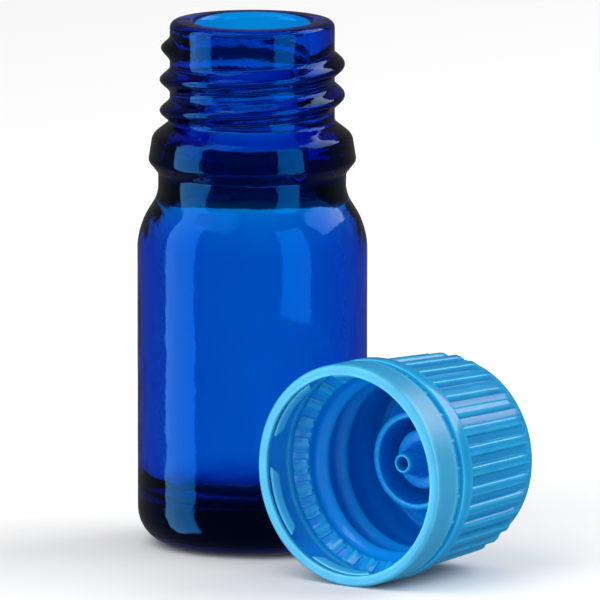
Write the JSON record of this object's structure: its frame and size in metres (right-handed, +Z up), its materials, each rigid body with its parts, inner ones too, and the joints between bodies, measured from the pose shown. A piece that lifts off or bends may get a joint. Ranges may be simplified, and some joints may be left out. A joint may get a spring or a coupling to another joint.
{
  "type": "dropper vial",
  "caption": "Small cobalt glass vial with a threaded neck, beside its turquoise ribbed screw cap with tamper band and dropper insert.",
  "frame": {"origin": "middle of the footprint of the standing vial and the cap that lies beside it, on the surface they rest on", "axes": "+Z up along the vial's axis; +X towards the side where the cap lies; the cap's open end faces -Y and a little to -X"},
  "size_m": [0.038, 0.0426, 0.051],
  "materials": {
    "cobalt_glass": "clear deep cobalt, fire-polished with a slight moulded ripple",
    "insert_plastic": "smooth moulded turquoise",
    "cap_plastic": "smooth moulded turquoise",
    "band_plastic": "satin moulded turquoise"
  },
  "bodies": {
    "vial": {"glass_bottle": "cobalt_glass"},
    "insert": {"dropper_insert": "insert_plastic"},
    "cap": {"screw_cap": "cap_plastic"},
    "band": {"tamper_band": "band_plastic", "tamper_bridge_01": "band_plastic", "tamper_bridge_02": "band_plastic", "tamper_bridge_03": "band_plastic", "tamper_bridge_04": "band_plastic", "tamper_bridge_05": "band_plastic", "tamper_bridge_06": "band_plastic", "tamper_bridge_07": "band_plastic", "tamper_bridge_08": "band_plastic", "tamper_bridge_09": "band_plastic", "tamper_bridge_10": "band_plastic", "tamper_bridge_11": "band_plastic", "tamper_bridge_12": "band_plastic", "tamper_bridge_13": "band_plastic", "tamper_bridge_14": "band_plastic", "tamper_bridge_15": "band_plastic", "tamper_bridge_16": "band_plastic", "tamper_bridge_17": "band_plastic", "tamper_bridge_18": "band_plastic", "tamper_bridge_19": "band_plastic", "tamper_bridge_20": "band_plastic", "tamper_bridge_21": "band_plastic", "tamper_bridge_22": "band_plastic", "tamper_bridge_23": "band_plastic", "tamper_bridge_24": "band_plastic"},
    "flap_01": {"retaining_flap_01": "band_plastic"},
    "flap_02": {"retaining_flap_02": "band_plastic"},
    "flap_03": {"retaining_flap_03": "band_plastic"},
    "flap_04": {"retaining_flap_04": "band_plastic"},
    "flap_05": {"retaining_flap_05": "band_plastic"},
    "flap_06": {"retaining_flap_06": "band_plastic"}
  },
  "joints": [
    {"name": "closure_tip", "type": "hinge", "parent": "vial", "child": "insert", "pos_m": [0.01212, -0.00036, 0], "axis": [-0.8018, 0.5976, 0], "range_deg": [0, 90]},
    {"name": "cap_turn", "type": "hinge", "parent": "insert", "child": "cap", "pos_m": [0.00124, -0.01495, 0.0107], "axis": [0.5976, 0.8018, 0], "continuous": true},
    {"name": "band_slide", "type": "slide", "parent": "cap", "child": "band", "axis": [-0.5976, -0.8018, 0], "range_m": [0, 0.01]},
    {"name": "flap_flex_01", "type": "hinge", "parent": "band", "child": "flap_01", "pos_m": [0.00052, -0.01367, 0.00114], "axis": [-0.794, 0.5918, 0.1392], "range_deg": [0, 20], "stiffness_Nm_per_rad": 0.0001},
    {"name": "flap_flex_02", "type": "hinge", "parent": "band", "child": "flap_02", "pos_m": [-0.00558, -0.00913, 0.00709], "axis": [-0.3004, 0.2239, 0.9272], "range_deg": [0, 20], "stiffness_Nm_per_rad": 0.0001},
    {"name": "flap_flex_03", "type": "hinge", "parent": "band", "child": "flap_03", "pos_m": [-0.0045, -0.00993, 0.01664], "axis": [0.4936, -0.3679, 0.788], "range_deg": [0, 20], "stiffness_Nm_per_rad": 0.0001},
    {"name": "flap_flex_04", "type": "hinge", "parent": "band", "child": "flap_04", "pos_m": [0.00267, -0.01528, 0.02026], "axis": [0.794, -0.5918, -0.1392], "range_deg": [0, 20], "stiffness_Nm_per_rad": 0.0001},
    {"name": "flap_flex_05", "type": "hinge", "parent": "band", "child": "flap_05", "pos_m": [0.00877, -0.01982, 0.01431], "axis": [0.3004, -0.2239, -0.9272], "range_deg": [0, 20], "stiffness_Nm_per_rad": 0.0001},
    {"name": "flap_flex_06", "type": "hinge", "parent": "band", "child": "flap_06", "pos_m": [0.00769, -0.01902, 0.00476], "axis": [-0.4936, 0.3679, -0.788], "range_deg": [0, 20], "stiffness_Nm_per_rad": 0.0001}
  ],
  "couplings": [
    {"joint": "flap_flex_02", "follows": "flap_flex_01", "ratio": 1},
    {"joint": "flap_flex_03", "follows": "flap_flex_01", "ratio": 1},
    {"joint": "flap_flex_04", "follows": "flap_flex_01", "ratio": 1},
    {"joint": "flap_flex_05", "follows": "flap_flex_01", "ratio": 1},
    {"joint": "flap_flex_06", "follows": "flap_flex_01", "ratio": 1}
  ]
}
